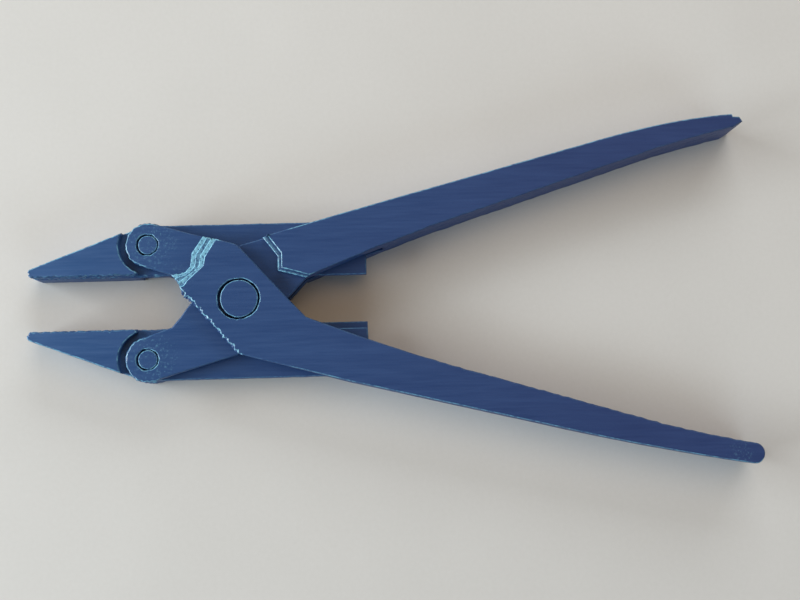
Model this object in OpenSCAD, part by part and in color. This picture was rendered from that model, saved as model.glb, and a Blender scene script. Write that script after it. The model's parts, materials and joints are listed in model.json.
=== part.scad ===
// Printed parallel-jaw pliers. The axis of the main pivot is the Z axis, the tool lies on z = 0,
// the jaws point to -X and the grips to +X. It is drawn in its fully open pose.

/* [Overall] */
// Height of the grips and of the crossing
tool_height = 12; // [10.2:0.3:15]
// Height of the jaws and of the front arms
arm_height = 9.6; // [8.4:0.3:10.8]
// Length of the lower grip, from the main pivot to its tip
grip_reach = 128.2; // [110:0.1:150]

/* [Linkage] */
// Distance from the main pivot to each jaw pin and each guide pin
link_length = 27; // [25:0.5:32]
// Angle of each front arm to the tool's axis when fully open
open_angle = 32.08; // [28:0.01:36]
// Distance from the tool's axis to each jaw face when fully open
jaw_face_offset = 6.6; // [5.5:0.1:7.5]

/* [Plates] */
// Thickness of the lower handle's outside plates at the crossing
outer_plate = 2.1; // [1.8:0.3:2.4]
// Thickness of the plates inside them
inner_plate = 1.8; // [1.2:0.3:2.1]
// Height of the clearance between neighbouring plates
plate_gap = 0.3; // [0.2:0.05:0.4]
// Radius of each grip's pocket, about the main pivot
pocket_radius = 38; // [37.6:0.1:42]

/* [Pins] */
// Diameter of the main pivot pin
main_pin_diameter = 9.3; // [8:0.1:10]
// Diameter of its running hole in the lower handle
main_hole_diameter = 10.8; // [9.6:0.1:11.5]
// Diameter of the jaw pins
jaw_pin_diameter = 4.8; // [4:0.1:5.4]
// Diameter of their running holes in the front arms
jaw_hole_diameter = 5.8; // [5:0.1:6.4]
// Diameter of the guide pins hidden in the grips
guide_pin_diameter = 4; // [3.4:0.1:4.6]
// Width of the tail slots that ride on the guide pins
guide_slot_width = 4.5; // [4:0.1:5.2]

/* [Jaws] */
// Distance from the main pivot to the jaw tips when fully open
jaw_tip_reach = 52.6; // [48:0.1:56]
// Radius of the rounded jaw tips
jaw_tip_radius = 1.25; // [0.8:0.05:1.4]
// Distance from the tool's axis to the outside of each tail when fully open
tail_outer_offset = 19.5; // [19:0.1:19.8]
// Distance from the main pivot to the ends of the tails when fully open
tail_reach = 31.6; // [30.5:0.1:32]
// Radius of the round step in each jaw that faces the end of its arm
jaw_step_radius = 7.3; // [6.4:0.1:8]
// Distance that each jaw's full height stops short of its pin
jaw_heel = 2.6; // [0:0.1:4]
// Distance that each tail's inner lip reaches past its jaw's face
tail_lip = 0.8; // [0.2:0.1:1.2]
// Radius of the round end of each front arm
arm_end_radius = 5.5; // [4.8:0.1:6]

/* [Hidden] */

$fn = 96;
blue = [0.05, 0.16, 0.42];
far = 200;

pin_x = link_length * cos(open_angle);
pin_y = link_length * sin(open_angle);
jaw_pin = [-pin_x, pin_y];

// The stack of plates, from the bed up.
inner_floor = outer_plate + plate_gap;
pocket_floor = inner_floor + inner_plate;
pocket_roof = tool_height - pocket_floor;
inner_roof = tool_height - inner_floor;
outer_roof = tool_height - outer_plate;
tail_floor = pocket_floor + plate_gap;
tail_roof = pocket_roof - plate_gap;

// Where the pins are when the jaws meet, as seen from a jaw.
face_clearance = 0.05;
closed_angle = asin((pin_y - jaw_face_offset + face_clearance) / link_length);
slide_x = link_length * (cos(closed_angle) - cos(open_angle));

function flip(points) = [for (p = points) [p[0], -p[1]]];
function arc(centre, radius, first, last, steps) =
    [for (i = [0:steps]) let (a = first + (last - first) * i / steps)
        centre + radius * [cos(a), sin(a)]];
function bend(first, control, last, steps) =
    [for (i = [0:steps]) let (t = i / steps)
        (1 - t) * (1 - t) * first + 2 * t * (1 - t) * control + t * t * last];
function between(a, b, t) = [for (i = [0:len(a) - 1]) a[i] + (b[i] - a[i]) * t];

// The front arm, the crossing and the start of the grip: the same plan for both handles.
arm_inner_edge = [[-17, 6.55], [-14.9, 4.1], [-13.4, 2], [-11.25, -0.6]];
crossing_corner = [0.1, -13.75];
crotch = [[19.6, -6.2], [17.7, -5.45], [16.4, -4.95], [12.65, -1]];
arm_outer_corner = bend([0.65, 12.45], [0.1, 13.2], [-0.9, 13.75], 6);

lower_grip_outer = concat(
    [crossing_corner, [27, -21.1]],
    bend([88, -36.25], [108.5, -41], [grip_reach - 2.9, -43.95], 12));
lower_grip_tip = arc([grip_reach - 2.55, -41.45], 2.55, -80, 76, 20);
lower_grip_inner = concat(
    bend([grip_reach - 7, -37.95], [112, -35.9], [104, -33.75], 10),
    bend([50, -17.2], [38.5, -13.6], [19.6, -6.2], 10));
lower_plan = concat(
    arc(jaw_pin, arm_end_radius, 74.3, 254, 40),
    arm_inner_edge, lower_grip_outer, lower_grip_tip, lower_grip_inner, crotch, arm_outer_corner);

upper_grip_outer = concat(
    [crossing_corner, [27, -21.15]],
    bend([88, -37.25], [109.5, -43.2], [grip_reach - 3, -44], 14));
// The end of the upper grip is cut on a slant, and a small corner of it is missing.
upper_grip_tip = [[grip_reach - 2.6, -43.95], [grip_reach - 2.4, -43.35], [grip_reach - 0.8, -43.3],
                  [grip_reach, -42]];
upper_grip_inner = concat(
    bend([grip_reach - 2.5, -40.6], [112.5, -37.6], [104.5, -35.1], 10),
    bend([50, -17.6], [38.5, -13.75], [19.6, -6.2], 10));
upper_plan = flip(concat(
    arc(jaw_pin, arm_end_radius, 74.3, 254, 40),
    arm_inner_edge, upper_grip_outer, upper_grip_tip, upper_grip_inner, crotch, arm_outer_corner));

// Lines across a handle where its plates change level, drawn for the arm at the upper left.
ramp_foot = [[-6.4, 20], [-11.9, 11.9], [-12.3, 8.5], [-13.4, 7.2], [-19, 6.1]];
ramp_head = [[-2.5, 20], [-8.5, 10.6], [-8.8, 8.5], [-10.1, 7.28], [-16, 1.75]];
arm_step = between(ramp_foot, ramp_head, 0.5);
// The same for the grip at the upper right.
recess_foot = [[3, 19], [9.55, 10.5], [9.55, 6.9], [15.7, 5.15], [22, 3.4]];
recess_head = [[4, 19.6], [10.5, 11.1], [10.5, 7.35], [16, 5.8], [22.2, 4]];
ramp_treads = 4;
recess_treads = 2;

// The area of plan on the arm's side of a line, and on the grip's side.
function arm_side(line) = concat(line, [[-far, line[len(line) - 1][1]], [-far, far], [line[0][0], far]]);
function grip_side(line) = concat(line, [[far, line[len(line) - 1][1]], [far, far], [line[0][0], far]]);

module slab(floor_z, roof_z) {
    translate([0, 0, floor_z]) linear_extrude(roof_z - floor_z) children();
}

// The space that the other handle's plates and both tails turn in, at the crossing.
module crossing_space(floor_z, roof_z, upper) {
    slab(floor_z, roof_z) difference() {
        square(2 * pocket_radius, center = true);
        polygon(upper ? flip(arm_side(arm_step)) : arm_side(arm_step));
        polygon(upper ? grip_side(recess_foot) : flip(grip_side(recess_foot)));
    }
}

// The space in the middle layer that a jaw and its tail turn in, with a web left outside it.
module tail_space(side) {
    slab(pocket_floor, pocket_roof) difference() {
        circle(pocket_radius);
        translate([28.6, side * 30.4 - 10]) square(20);
    }
}

module jaw_hole(side) {
    translate([-pin_x, side * pin_y, -1]) cylinder(d = jaw_hole_diameter, h = tool_height + 2);
}

module guide_hole(side) {
    translate([pin_x, side * pin_y, inner_floor]) cylinder(d = guide_pin_diameter, h = inner_roof - inner_floor);
}

module lower_handle() color(blue) difference() {
    slab(0, tool_height) polygon(lower_plan);
    crossing_space(outer_plate, outer_roof, false);
    tail_space(-1);
    for (i = [0:ramp_treads - 1])
        slab(arm_height + (tool_height - arm_height) * i / ramp_treads, tool_height + 1)
            polygon(arm_side(between(ramp_foot, ramp_head, i / (ramp_treads - 1))));
    translate([0, 0, -1]) cylinder(d = main_hole_diameter, h = tool_height + 2);
    jaw_hole(1);
    guide_hole(-1);
}

module upper_handle() color(blue) difference() {
    slab(0, tool_height) polygon(upper_plan);
    crossing_space(-1, inner_floor, true);
    tail_space(1);
    for (i = [0:recess_treads - 1])
        slab(inner_roof + (tool_height - inner_roof) * i / recess_treads, tool_height + 1)
            difference() {
                translate([-far / 2, -far]) square([far * 0.75, 2 * far]);
                polygon(grip_side(between(recess_foot, recess_head, i / (recess_treads - 1))));
            }
    translate([0, 0, -1]) cylinder(d = main_pin_diameter, h = tool_height + 2);
    jaw_hole(-1);
    guide_hole(1);
}

// One jaw with its tongue and tail, drawn for the upper side.
tip_centre = [-jaw_tip_reach + jaw_tip_radius, jaw_face_offset + jaw_tip_radius];
function jaw_plan(inner_offset) = concat(
    arc(tip_centre, jaw_tip_radius, 112, 270, 16),
    [[lip_start, jaw_face_offset], [lip_start, inner_offset], [tail_reach, inner_offset],
     [tail_reach, tail_outer_offset], [-24.3, tail_outer_offset]]);

// The ends of the tails lap when the jaws meet: each has a lip of half its thickness on one side
// of the middle layer, and a rebate for the other tail's lip on the other side of it.
lip_start = 14;
lip_offset = jaw_face_offset - tail_lip;
rebate_offset = jaw_face_offset + tail_lip + 0.1;
lap_roof = (tail_floor + tail_roof) / 2;
lap_floor = lap_roof - plate_gap;

module tail(side, floor_z, roof_z, inner_offset) {
    plan = jaw_plan(inner_offset);
    slab(floor_z, roof_z) difference() {
        polygon(side > 0 ? plan : flip(plan));
        translate([slide_x, side * jaw_face_offset]) circle(main_pin_diameter / 2 + 0.9);
        translate([pin_x - 0.3, side * pin_y]) circle(d = guide_slot_width);
        translate([pin_x - 0.3, side * pin_y - guide_slot_width / 2]) square([far, guide_slot_width]);
    }
}

module jaw(side) {
    plan = jaw_plan(jaw_face_offset);
    difference() {
        union() {
            slab(0, arm_height) difference() {
                polygon(side > 0 ? plan : flip(plan));
                translate([-pin_x, side * pin_y]) circle(jaw_step_radius);
                translate([-pin_x - jaw_heel, -far]) square(2 * far);
            }
            if (side > 0) {
                tail(side, tail_floor, lap_roof, rebate_offset);
                tail(side, lap_roof, tail_roof, lip_offset);
            } else {
                tail(side, tail_floor, lap_floor, lip_offset);
                tail(side, lap_floor, tail_roof, rebate_offset);
            }
        }
        translate([-pin_x, side * pin_y, -1]) cylinder(d = jaw_pin_diameter, h = tool_height + 2);
    }
}

module upper_jaw() color(blue) jaw(1);
module lower_jaw() color(blue) jaw(-1);

module main_pivot_pin() color(blue) cylinder(d = main_pin_diameter, h = tool_height);

module jaw_pin_at(side) {
    translate([-pin_x, side * pin_y, 0]) cylinder(d = jaw_pin_diameter, h = arm_height);
}
module upper_jaw_pin() color(blue) jaw_pin_at(1);
module lower_jaw_pin() color(blue) jaw_pin_at(-1);

module guide_pin_at(side) {
    translate([pin_x, side * pin_y, inner_floor]) cylinder(d = guide_pin_diameter, h = inner_roof - inner_floor);
}
module upper_guide_pin() color(blue) guide_pin_at(1);
module lower_guide_pin() color(blue) guide_pin_at(-1);

lower_handle();
upper_handle();
upper_jaw();
lower_jaw();
main_pivot_pin();
upper_jaw_pin();
lower_jaw_pin();
upper_guide_pin();
lower_guide_pin();
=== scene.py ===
import json
import math

import bmesh
import bpy
import numpy as np
from mathutils import Matrix, Vector, noise

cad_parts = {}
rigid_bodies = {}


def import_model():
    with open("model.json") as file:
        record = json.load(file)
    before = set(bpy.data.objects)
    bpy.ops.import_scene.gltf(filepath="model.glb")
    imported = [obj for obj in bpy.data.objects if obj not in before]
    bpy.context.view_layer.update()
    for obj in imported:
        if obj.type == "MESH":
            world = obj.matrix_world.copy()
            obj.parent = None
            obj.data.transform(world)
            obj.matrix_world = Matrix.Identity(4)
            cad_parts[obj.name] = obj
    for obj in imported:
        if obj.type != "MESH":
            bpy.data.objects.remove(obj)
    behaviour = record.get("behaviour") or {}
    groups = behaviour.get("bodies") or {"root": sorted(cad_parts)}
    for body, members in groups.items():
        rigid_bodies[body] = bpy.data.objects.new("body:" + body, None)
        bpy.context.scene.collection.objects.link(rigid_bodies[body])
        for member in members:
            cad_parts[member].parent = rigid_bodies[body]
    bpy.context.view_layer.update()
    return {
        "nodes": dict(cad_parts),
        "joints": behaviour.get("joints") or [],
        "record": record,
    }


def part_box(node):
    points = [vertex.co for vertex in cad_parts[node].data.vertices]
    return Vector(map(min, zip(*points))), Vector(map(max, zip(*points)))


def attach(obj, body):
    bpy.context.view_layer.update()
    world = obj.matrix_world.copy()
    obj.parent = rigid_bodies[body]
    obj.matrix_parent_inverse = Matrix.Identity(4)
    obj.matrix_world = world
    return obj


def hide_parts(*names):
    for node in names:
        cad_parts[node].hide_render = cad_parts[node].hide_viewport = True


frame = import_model()

MM = 0.001
# The height of one printed layer, in metres.
LAYER = 0.3 * MM

# The heights of the flat arms and of the whole tool, in millimetres.
ARM_HEIGHT = round(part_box("upper_jaw_pin")[1].z / MM, 3)
TOOL_HEIGHT = round(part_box("lower_handle")[1].z / MM, 3)

# The plan place of the jaw pin that each handle's arm carries, in millimetres.
JAW_PINS = {
    joint["parent"]: Vector(joint["pos_m"][:2]) / MM
    for joint in frame["joints"] if joint["child"].endswith("jaw")
}


# ---------------------------------------------------------------- camera and light

def make_camera():
    """A phone held almost straight above the tool, turned very slightly."""
    data = bpy.data.cameras.new("camera")
    data.sensor_width = 36.0
    data.lens = 45.0
    data.clip_start = 0.01
    camera = bpy.data.objects.new("camera", data)
    bpy.context.scene.collection.objects.link(camera)
    pitch, yaw, roll = -0.11, 0.0238, 0.02896
    turn = Matrix.Rotation(pitch, 4, "X") @ Matrix.Rotation(yaw, 4, "Y") @ Matrix.Rotation(roll, 4, "Z")
    place = Matrix.Translation(Vector((33.05, -28.37, 257.57)) * MM)
    camera.matrix_world = place @ turn.transposed()
    bpy.context.scene.camera = camera


def area_light(name, azimuth, elevation, distance, size, power, colour):
    """A rectangular light at a compass angle and a height angle, aimed at the tool."""
    data = bpy.data.lights.new(name, "AREA")
    data.shape = "RECTANGLE"
    data.size, data.size_y = size
    data.energy = power
    data.color = colour
    light = bpy.data.objects.new(name, data)
    bpy.context.scene.collection.objects.link(light)
    aim = Vector((0.03, 0.0, 0.0))
    across = distance * math.cos(math.radians(elevation))
    turn = math.radians(azimuth)
    up = distance * math.sin(math.radians(elevation))
    light.location = aim + Vector((across * math.cos(turn), across * math.sin(turn), up))
    light.rotation_euler = (aim - light.location).to_track_quat("-Z", "Y").to_euler()
    return light


def make_light():
    """A wide low window at the left, pale walls behind and in front, and a weak warm ceiling."""
    area_light("window", 179, 22, 0.95, (0.9, 0.32), 13.4, (0.96, 1.0, 1.02))
    soft_lights = (
        area_light("back_wall", 75, 24, 1.1, (0.9, 0.5), 6.2, (0.97, 1.0, 1.04)),
        area_light("front_wall", 300, 24, 1.1, (0.9, 0.5), 3.6, (0.85, 1.0, 1.15)),
        area_light("ceiling", 60, 66, 1.0, (0.8, 0.8), 2.7, (1.0, 0.66, 0.38)),
    )
    for light in soft_lights:
        light.visible_glossy = False
    world = bpy.data.worlds.new("room")
    world.use_nodes = True
    background = world.node_tree.nodes["Background"]
    background.inputs["Color"].default_value = (0.98, 0.96, 0.94, 1.0)
    background.inputs["Strength"].default_value = 0.12
    bpy.context.scene.world = world
    bpy.context.scene.view_settings.view_transform = "Standard"


# ---------------------------------------------------------------- materials

class Nodes:
    """Short names for the shader nodes that the materials below are built from."""

    def __init__(self, material_name):
        self.material = bpy.data.materials.new(material_name)
        self.material.use_nodes = True
        self.tree = self.material.node_tree
        self.shader = self.tree.nodes["Principled BSDF"]

    def node(self, kind, **settings):
        """A new shader node with some of its settings."""
        made = self.tree.nodes.new(kind)
        for key, value in settings.items():
            setattr(made, key, value)
        return made

    def link(self, source, target):
        """Joins an output to an input."""
        self.tree.links.new(source, target)

    def position(self):
        """The piece's own coordinates in millimetres, the same for every piece."""
        place = self.node("ShaderNodeTexCoord").outputs["Object"]
        return self.scaled(place, (1000, 1000, 1000))

    def scaled(self, vector, scale):
        """A vector with each axis multiplied, so that a pattern is drawn out or packed along it."""
        mapping = self.node("ShaderNodeMapping")
        mapping.inputs["Scale"].default_value = scale
        self.link(vector, mapping.inputs["Vector"])
        return mapping.outputs["Vector"]

    def noise(self, vector, scale, detail=2.0, roughness=0.5):
        """Smooth noise between 0 and 1."""
        made = self.node("ShaderNodeTexNoise")
        made.inputs["Scale"].default_value = scale
        made.inputs["Detail"].default_value = detail
        made.inputs["Roughness"].default_value = roughness
        self.link(vector, made.inputs["Vector"])
        return made.outputs["Fac"]

    def math(self, operation, first, second, clamp=False):
        """A sum on two values, each a number or an output, kept between 0 and 1 if it is clamped."""
        made = self.node("ShaderNodeMath", operation=operation, use_clamp=clamp)
        for socket, value in zip(made.inputs, (first, second)):
            if isinstance(value, (int, float)):
                socket.default_value = value
            else:
                self.link(value, socket)
        return made.outputs[0]

    def mixed(self, *parts):
        """The sum of some values, each taken by its own share."""
        total = 0.0
        for value, share in parts:
            total = self.math("ADD", self.math("MULTIPLY", value, share), total)
        return total

    def spread(self, value, low, high, new_low, new_high):
        """The value from low to high, stretched to run from new_low to new_high."""
        made = self.node("ShaderNodeMapRange")
        self.link(value, made.inputs["Value"])
        for name, number in zip(("From Min", "From Max", "To Min", "To Max"), (low, high, new_low, new_high)):
            made.inputs[name].default_value = number
        return made.outputs["Result"]

    def blend(self, amount, first, second):
        """One colour going over to another."""
        made = self.node("ShaderNodeMix", data_type="RGBA")
        self.link(amount, made.inputs["Factor"])
        for socket, value in zip((made.inputs[6], made.inputs[7]), (first, second)):
            if isinstance(value, tuple):
                socket.default_value = (*value, 1)
            else:
                self.link(value, socket)
        return made.outputs[2]

    def bump(self, height, distance, strength, under=None):
        """A surface direction from a height, on top of another bump if one is given."""
        made = self.node("ShaderNodeBump")
        made.inputs["Distance"].default_value = distance
        made.inputs["Strength"].default_value = strength
        self.link(height, made.inputs["Height"])
        if under is not None:
            self.link(under, made.inputs["Normal"])
        return made.outputs["Normal"]

    def near(self, place, centre, reach):
        """1 close to a point, falling to 0 at a distance from it."""
        distance = self.node("ShaderNodeVectorMath", operation="DISTANCE")
        self.link(place, distance.inputs[0])
        distance.inputs[1].default_value = centre
        return self.spread(distance.outputs["Value"], 0.6 * reach, reach, 1.0, 0.0)

    def attribute(self, name):
        """A value stored on the mesh."""
        return self.node("ShaderNodeAttribute", attribute_name=name).outputs["Fac"]


def make_table_material():
    """Pale painted table top: almost plain, with a faint mottle and a fine grain."""
    n = Nodes("pale_table")
    place = n.position()
    cloudy = n.noise(place, 0.02, 3.0)
    grain = n.noise(place, 0.9, 3.0, 0.6)
    shade = n.spread(n.mixed((cloudy, 0.6), (grain, 0.4)), 0.3, 0.7, 0.0, 1.0)
    n.link(n.blend(shade, (0.564, 0.576, 0.562), (0.604, 0.618, 0.606)), n.shader.inputs["Base Color"])
    n.link(n.spread(grain, 0.3, 0.7, 0.72, 0.88), n.shader.inputs["Roughness"])
    n.shader.inputs["Specular IOR Level"].default_value = 0.25
    n.link(n.bump(grain, 0.03 * MM, 0.5), n.shader.inputs["Normal"])
    return n.material


# The darkest and the lightest beads of the plastic: along the arms, at the jaws and at the grips' ends. The
# jaws' pair is painted lighter as painted light and the grips' pair darker as painted shade, for light
# falling off away from the window.
ARM_BLUES = ((0.0185, 0.062, 0.180), (0.0270, 0.081, 0.216))
JAW_PAINTED_LIGHT_BLUES = ((0.027, 0.081, 0.212), (0.039, 0.104, 0.254))
GRIP_PAINTED_SHADE_BLUES = ((0.0200, 0.041, 0.132), (0.0275, 0.056, 0.166))
# Pale blue of worn and scuffed plastic, also used for the painted highlights on rims and treads that catch
# the window light.
WEAR_AND_HIGHLIGHT_BLUE = (0.190, 0.470, 0.63)

# Where the plastic is scuffed, and how far around: the two jaw pins, below the ramp, the lower grip's end.
SCUFFS = [((*pin, ARM_HEIGHT), 8.5) for pin in JAW_PINS.values()]
SCUFFS += [((-14.5, 5.0, 10.0), 4.5), ((122.0, -42.0, 12.0), 4.0)]


def bead_lines(n, place):
    """The fine ridges of a top layer, 0.4 mm apart and running along X."""
    bead = n.node("ShaderNodeTexWave", wave_type="BANDS", bands_direction="Y", wave_profile="SIN")
    bead.inputs["Scale"].default_value = 0.785
    bead.inputs["Distortion"].default_value = 0.6
    bead.inputs["Detail"].default_value = 1.0
    bead.inputs["Detail Scale"].default_value = 0.4
    n.link(place, bead.inputs["Vector"])
    return bead.outputs["Fac"]


def make_blue_plastic():
    """Blue filament as printed: thin beads side by side, each a little different in tone and gloss."""
    n = Nodes("blue_print")
    place = n.position()
    streak = n.noise(n.scaled(place, (0.06, 1.0, 1.0)), 1.6, 3.0, 0.55)
    broad_streak = n.noise(n.scaled(place, (0.03, 0.25, 0.25)), 1.0, 2.0)
    speck = n.noise(place, 2.6, 4.0, 0.6)
    shade = n.spread(n.mixed((streak, 0.45), (broad_streak, 0.35), (speck, 0.2)), 0.36, 0.64, 0.0, 1.0)

    # Painted light and shade: the plastic is painted a little brighter at the jaws, nearest the window, and
    # darker towards the hand, where less light falls.
    along = n.node("ShaderNodeSeparateXYZ")
    n.link(place, along.inputs[0])
    painted_light_at_jaws = n.spread(along.outputs["X"], -55, -12, 1.0, 0.0)
    painted_shade_at_grips = n.spread(along.outputs["X"], -50, 100, 0.0, 1.0)
    body = n.blend(painted_light_at_jaws, n.blend(shade, *ARM_BLUES), n.blend(shade, *JAW_PAINTED_LIGHT_BLUES))
    body = n.blend(painted_shade_at_grips, body, n.blend(shade, *GRIP_PAINTED_SHADE_BLUES))

    # Rims are painted pale, partly as wear and partly as painted highlight where a rounded rim catches the
    # window.
    patches = n.spread(n.noise(place, 1.3, 3.0, 0.65), 0.38, 0.58, 0.15, 1.0)
    rim_paleness_and_highlight = n.math("MULTIPLY", n.attribute("edge_wear_and_highlight"), patches, clamp=True)
    scuffed = 0.0
    for centre, reach in SCUFFS:
        scuffed = n.math("MAXIMUM", scuffed, n.near(place, centre, reach))
    scratches = n.spread(n.noise(place, 1.6, 4.0, 0.8), 0.55, 0.70, 0.0, 0.35)
    pale = n.math("MAXIMUM", rim_paleness_and_highlight, n.math("MULTIPLY", scuffed, scratches))
    n.link(n.blend(pale, body, WEAR_AND_HIGHLIGHT_BLUE), n.shader.inputs["Base Color"])

    n.link(n.spread(streak, 0.3, 0.7, 0.30, 0.46), n.shader.inputs["Roughness"])
    n.shader.inputs["IOR"].default_value = 1.47
    n.shader.inputs["Specular IOR Level"].default_value = 0.5
    lines = n.bump(bead_lines(n, place), 0.012 * MM, 0.6)
    rough = n.bump(speck, 0.05 * MM, 0.35, under=lines)
    n.link(n.bump(streak, 0.06 * MM, 0.3, under=rough), n.shader.inputs["Normal"])
    return n.material


# ---------------------------------------------------------------- places on the printed pieces

# Each ring of a rounded rim, in millimetres: how far below the top it lies, and how far it is set in.
RIM = ((0.0, 0.30), (0.1, 0.11), (0.2, 0.03))
# How deep the groove between two layers is, in millimetres.
SEAM_GROOVE = 0.05

# How pale the three treads of the lower handle's ramp are painted, from the lowest: painted light, as the
# treads face the window. Above 1 leaves no patches.
RAMP_PAINTED_LIGHT = (1.8, 0.6, 1.8)
RAMP_STEP = (TOOL_HEIGHT - ARM_HEIGHT) / (len(RAMP_PAINTED_LIGHT) + 1)

# Lines in plan, in millimetres: the rough edge of the lower handle's boss, the step up to the upper grip,
# and the outer edge of the upper handle where it leaves the crossing.
BOSS_EDGE = ((-13.9, 3.0), (0.1, -13.75))
RECESS = ((3.0, 19.0), (9.9, 10.6), (9.9, 7.0), (15.8, 5.4), (22.0, 3.6))
CROSSING_LIP = ((0.1, 13.75), (7.0, 15.6))
# Where the boss's edge sags, and the foot of the ramp.
BOSS_SAG = Vector((-13.2, 1.9))
RAMP_FOOT = Vector((-15.0, 5.0))

# Radii in millimetres: just outside the running holes of the main pin and a jaw pin, and an arm's round end.
MAIN_HOLE_REACH = 5.6
JAW_HOLE_REACH = 3.1
ARM_END_RADIUS = 5.5
# The jaws' gripping walls lie within this distance of the middle line, in millimetres.
GRIP_REACH = 8.0


def gap_to_line(plan, points):
    """How far a place in plan is from a line through some points, in millimetres."""
    best = math.inf
    for start, end in zip(points, points[1:]):
        start, end = Vector(start), Vector(end)
        along = end - start
        share = min(1.0, max(0.0, (plan - start).dot(along) / along.length_squared))
        best = min(best, (plan - start - share * along).length)
    return best


def on_boss_edge(vert):
    """Whether a vertex of the lower handle is on the rough edge of its boss."""
    return gap_to_line(vert.co.to_2d() / MM, BOSS_EDGE) < 0.3


def hole_at(node, plan):
    """The running hole that a point of a handle's wall belongs to, if any."""
    if node == "lower_handle" and plan.length < MAIN_HOLE_REACH:
        return "main"
    if node in JAW_PINS and (plan - JAW_PINS[node]).length < JAW_HOLE_REACH:
        return "jaw"
    return None


def on_arm_end(node, plan):
    """Whether a point is on the round end of a handle's arm."""
    return node in JAW_PINS and abs((plan - JAW_PINS[node]).length - ARM_END_RADIUS) < 0.3


def grips(node, place, direction):
    """Whether a wall is one that meets the other jaw. Such walls have no bumps standing out."""
    return node.endswith("jaw") and direction.y * place.y < 0 and abs(place.y) < GRIP_REACH


def above_arms(z):
    """Whether a height in millimetres is above the arms, where the ramps and the tops are."""
    return z > ARM_HEIGHT + 0.1


def is_wall(face):
    """Whether a face is upright."""
    return abs(face.normal.z) < 0.5


def is_tread(face):
    """Whether a face is flat and between the arms' height and the top: a ramp's tread, or a pocket's roof."""
    height = face.calc_center_median().z / MM
    return not is_wall(face) and above_arms(height) and height < TOOL_HEIGHT - 0.1


def outward(vert):
    """The horizontal direction out of the walls that meet at a vertex, longer at a sharp corner."""
    normals = []
    for face in vert.link_faces:
        if is_wall(face) and all(face.normal.dot(other) < 0.9999 for other in normals):
            normals.append(face.normal.copy())
    if not normals:
        return None
    total = sum(normals, Vector())
    if total.length < 0.3:
        return Vector()
    direction = total.normalized()
    return direction / max(0.5, direction.dot(normals[0]))


def rim_side(vert):
    """1 where a wall ends at a face looking up, -1 where it ends at a face looking down, otherwise 0."""
    above = any(is_wall(face) and face.calc_center_median().z > vert.co.z for face in vert.link_faces)
    below = any(is_wall(face) and face.calc_center_median().z < vert.co.z for face in vert.link_faces)
    faces_up = any(face.normal.z > 0.5 for face in vert.link_faces)
    faces_down = any(face.normal.z < -0.5 for face in vert.link_faces)
    if faces_up and below and not above:
        return 1
    if faces_down and above and not below:
        return -1
    return 0


# ---------------------------------------------------------------- cuts

def layer_heights(low, high):
    """The heights where each layer's bead changes: its seam and the two ends of its round side."""
    heights = []
    for k in range(round(low / LAYER), round(high / LAYER) + 1):
        for share in (-1 / 3, 0.0, 1 / 3):
            z = (k + share) * LAYER
            if low + 1e-6 < z < high - 1e-6:
                heights.append(z)
    return heights


def step_along(x, rough):
    """The distance to the next cut across X: short around a rough crossing, long along the grips."""
    if x >= 1 * MM:
        return 1.2 * MM
    if rough and x > -16 * MM:
        return 0.36 * MM
    return 0.6 * MM


def cut_places(mesh, low, high, rough):
    """Places along X for the cuts, with none just beside a wall that runs across X."""
    crosswise = set()
    for face in mesh.faces:
        if abs(face.normal.x) > 0.85:
            crosswise.update(round(vert.co.x, 5) for vert in face.verts)
    places = []
    x = low + 0.6 * MM
    while x < high:
        if all(abs(x - wall) > 0.42 * MM for wall in crosswise):
            places.append(x)
        x += step_along(x, rough)
    return places


def cut(mesh, faces, place, normal):
    """Cuts some faces of a mesh along a plane and leaves the others whole."""
    edges = sorted({edge for face in faces for edge in face.edges}, key=lambda edge: edge.index)
    verts = sorted({vert for face in faces for vert in face.verts}, key=lambda vert: vert.index)
    bmesh.ops.bisect_plane(mesh, geom=verts + edges + faces, dist=1e-8, plane_co=place, plane_no=normal)
    for group in (mesh.verts, mesh.edges, mesh.faces):
        group.index_update()


def cut_boss_edge(mesh):
    """Cuts the rough wall of the crossing's front corner closely."""
    start, end = (Vector((*point, 0)) * MM for point in BOSS_EDGE)
    along = end - start
    steps = round(along.length / (0.42 * MM))
    for k in range(1, steps):
        wall = [face for face in mesh.faces if is_wall(face) and all(map(on_boss_edge, face.verts))]
        cut(mesh, wall, start + k / steps * along, along.normalized())


# ---------------------------------------------------------------- print errors, wear and painted highlights

def bumps(place, size, seed=0.0):
    """Smooth seeded unevenness between about -1 and 1, with bumps of a given size in millimetres."""
    return 1.6 * noise.noise(Vector((place.x, place.y, place.z + 31.7 * seed)) / size)


def hole_flaw(hole, place, direction):
    """A running hole is printed a little wide, except on its right, so its gap is a dark crescent."""
    snug = max(0.0, direction.x)
    if hole == "main":
        return 0.33 + 0.06 * direction.y ** 2 - 0.30 * snug + 0.14 * bumps(place, 1.1)
    return 0.30 - 0.26 * snug + 0.14 * bumps(place, 1.1)


def lower_handle_flaw(place, direction):
    """The lower handle's boss is rough and sags, its ramp has a rough foot, and its grip is wavy inside."""
    plan = place.to_2d()
    push = 0.0
    if place.z > 9 and gap_to_line(plan, BOSS_EDGE) < 0.3:
        push += 0.05 + 0.45 * bumps(place, 0.5, 4)
    if place.z > 4:
        push += math.exp(-((plan - BOSS_SAG).length / 1.7) ** 2) * (0.35 + 1.0 * bumps(place, 0.7, 5))
    if above_arms(place.z) and (plan - RAMP_FOOT).length < 4:
        push += 0.20 * bumps(place, 0.6, 9)
    if direction.y > 0.8 and 45 < place.x < 124:
        push += 0.07 * math.sin(2.1 * place.x + 0.7 * place.z) + 0.10 * bumps(place, 1.8, 8)
    return push


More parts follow.
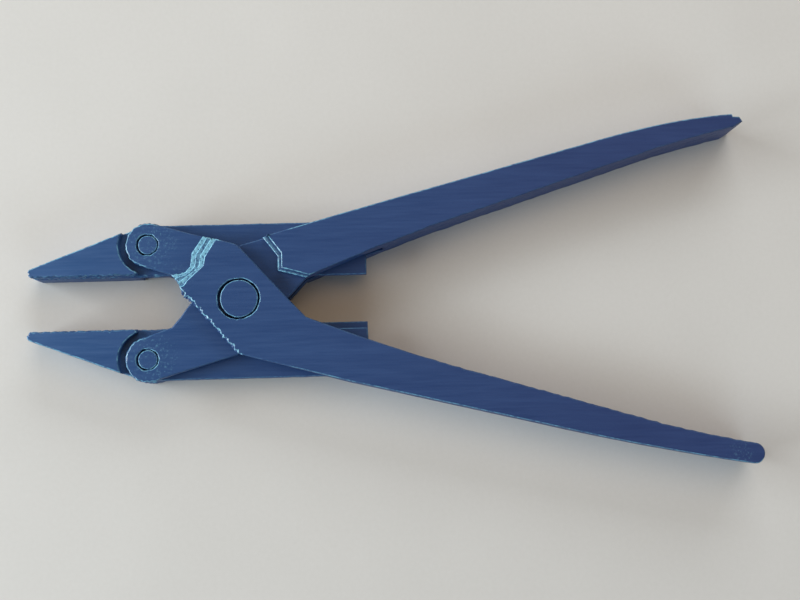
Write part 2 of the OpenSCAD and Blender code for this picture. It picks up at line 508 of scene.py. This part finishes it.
def flaw(node, place, direction):
    """How far a print error moves a wall out of its place, in millimetres."""
    plan = place.to_2d()
    hole = hole_at(node, plan)
    if hole:
        return hole_flaw(hole, place, direction)
    if "pin" in node:
        return 0.05 * bumps(place, 1.0)
    push = 0.03 * bumps(place, 4.0) + 0.015 * bumps(place, 1.2)
    if node.endswith("jaw"):
        # The gripping walls are pitted, except low down.
        if grips(node, place, direction) and place.x < -20 and place.z > 5.5:
            push -= 0.15 + 0.40 * bumps(place, 0.55, 7)
        return push + 0.06 * bumps(place, 0.9, 2)
    if on_arm_end(node, plan):
        return push + 0.22 * bumps(place, 0.7, 3)
    if node == "lower_handle":
        return push + lower_handle_flaw(place, direction)
    if direction.y < -0.8 and place.x > 30:
        return push + 0.10 * bumps(place, 1.6, 6)
    return push


def rim_wear_and_highlight(node, place, direction):
    """How pale a rim is painted, from 0: wear, and painted highlight on rims that face the window light.
    Above 1 leaves no patches.
    """
    plan = place.to_2d()
    if "pin" in node or hole_at(node, plan) or on_arm_end(node, plan):
        return 0.8
    if node.endswith("jaw"):
        return 0.8 if direction.y * place.y > 0 and place.x < -20 else 0.25
    lower = node == "lower_handle"
    if lower and gap_to_line(plan, BOSS_EDGE) < 0.4:
        return 1.0
    if above_arms(place.z):
        if lower and plan.x < -5 and plan.y > 0:
            return 1.6
        if not lower and (gap_to_line(plan, RECESS) < 1.0 or gap_to_line(plan, CROSSING_LIP) < 0.4):
            return 1.0
    faces_front = direction.y < -0.5 if lower else direction.y > 0.5
    return 0.6 if place.x > 12 and faces_front else 0.1


def mark_dots(face, pale_layer):
    """Marks pale dots on a wall of the upper jaw, if it is the inner one, above the middle of its height."""
    for loop in face.loops:
        place = loop.vert.co / MM
        if place.x < -20 and 5.5 < place.z < 9.3 and place.y < 7.0:
            loop[pale_layer] = 0.9 * max(0.0, bumps(place, 0.5, 10))


def mark_tread(face, pale_layer, node, rim_verts):
    """Marks a lower handle's flat face whole, by its tread's height, or an upper handle's rims there, as
    painted light on treads and steps that face the window.
    """
    step = round((face.calc_center_median().z / MM - ARM_HEIGHT) / RAMP_STEP) - 1
    for loop in face.loops:
        if node == "lower_handle":
            loop[pale_layer] = RAMP_PAINTED_LIGHT[step]
        else:
            loop[pale_layer] = 0.5 if loop.vert in rim_verts else 0.0


def mark_wear_and_highlights(mesh, node, rim_verts):
    """Marks as paler the rims, for wear and as painted highlight, the ramps' treads, as painted light, and
    the dots on the upper jaw. Other faces stay plain.
    """
    pale_layer = mesh.loops.layers.float.new("edge_wear_and_highlight")
    for vert, direction in rim_verts.items():
        amount = rim_wear_and_highlight(node, vert.co / MM, direction)
        for loop in vert.link_loops:
            if is_wall(loop.face):
                loop[pale_layer] = amount
    for face in mesh.faces:
        if node == "upper_jaw" and is_wall(face):
            mark_dots(face, pale_layer)
        if node.endswith("handle") and is_tread(face):
            mark_tread(face, pale_layer, node, rim_verts)


# ---------------------------------------------------------------- printed pieces

def column(vert):
    """The vertices above one another in a wall share this key."""
    return round(vert.co.x * 1e6), round(vert.co.y * 1e6)


def rim_insets(mesh):
    """For each column of a wall, the heights where a rim closes it, in millimetres, and the rim's side."""
    rims = {}
    for vert in mesh.verts:
        side = rim_side(vert)
        if side:
            rims.setdefault(column(vert), []).append((vert.co.z / MM, side))
    return rims


def rim_share(node, vert):
    """How much of the full rounding a rim has: more at the rough boss, less at pins, holes and ramps."""
    place = vert.co / MM
    if node == "lower_handle" and on_boss_edge(vert):
        return 1.2
    if "pin" in node or hole_at(node, place.to_2d()) or (above_arms(place.z) and place.z < 11.6):
        return 0.8
    return 1.0


def print_surface(mesh, node, seed):
    """Gives a cut-up CAD solid its printed side walls: grooves at the seams, soft rims, small errors."""
    draw = np.random.default_rng(seed)
    layer_error = draw.normal(0.0, 0.012, 64)
    rims = rim_insets(mesh)
    rim_verts = {}
    moves = {}
    for vert in mesh.verts:
        direction = outward(vert)
        if direction is None:
            continue
        place = vert.co / MM
        share = rim_share(node, vert)
        inset = 0.0
        for rim_z, side in rims.get(column(vert), ()):
            depth = (rim_z - place.z) * side
            for ring_depth, ring_inset in RIM:
                if abs(depth - ring_depth) < 0.02:
                    inset = ring_inset * (share if side > 0 else 0.5)
                    if side > 0 and ring_depth < 0.15:
                        rim_verts[vert] = direction
        layer = place.z * MM / LAYER
        if not inset and abs(layer - round(layer)) < 0.05:
            inset = SEAM_GROOVE
        push = layer_error[int(layer) % len(layer_error)] + flaw(node, place, direction)
        if grips(node, place, direction):
            push = min(push, 0.0) - 0.05
        moves[vert] = direction * ((push - inset) * MM)
    mark_wear_and_highlights(mesh, node, rim_verts)
    for vert, move in moves.items():
        vert.co += move


def printed(node, body, material, seed):
    """A CAD node as it comes off the printer: the same solid with every layer in its walls."""
    low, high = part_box(node)
    mesh = bmesh.new()
    mesh.from_mesh(frame["nodes"][node].data)
    bmesh.ops.remove_doubles(mesh, verts=mesh.verts, dist=1e-6)
    bmesh.ops.dissolve_limit(mesh, angle_limit=0.001, verts=mesh.verts, edges=mesh.edges)
    mesh.normal_update()
    lower = node == "lower_handle"
    for x in cut_places(mesh, low.x, high.x, lower):
        # The wide tops of the lower handle stay whole, because its rims are the roughest.
        faces = [face for face in mesh.faces if not lower or is_wall(face) or is_tread(face)]
        cut(mesh, faces, (x, 0, 0), (1, 0, 0))
    if lower:
        cut_boss_edge(mesh)
    for z in layer_heights(low.z, high.z):
        everything = mesh.verts[:] + mesh.edges[:] + mesh.faces[:]
        bmesh.ops.bisect_plane(mesh, geom=everything, dist=1e-8, plane_co=(0, 0, z), plane_no=(0, 0, 1))
    mesh.normal_update()
    print_surface(mesh, node, seed)
    for face in mesh.faces:
        face.smooth = is_wall(face)
    data = bpy.data.meshes.new(node + "_print")
    mesh.to_mesh(data)
    mesh.free()
    data.materials.append(material)
    piece = bpy.data.objects.new(node + "_print", data)
    bpy.context.scene.collection.objects.link(piece)
    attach(piece, body)
    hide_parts(node)


def make_table():
    """A plain table top, far wider than the tool."""
    reach = 1.5
    corners = [(-reach, -reach, 0), (reach, -reach, 0), (reach, reach, 0), (-reach, reach, 0)]
    data = bpy.data.meshes.new("table")
    data.from_pydata(corners, [], [(0, 1, 2, 3)])
    data.materials.append(make_table_material())
    floor = bpy.data.objects.new("table", data)
    bpy.context.scene.collection.objects.link(floor)


make_camera()
make_light()
make_table()

blue = make_blue_plastic()
for seed, (body, nodes) in enumerate(frame["record"]["behaviour"]["bodies"].items()):
    for node in nodes:
        printed(node, body, blue, seed)
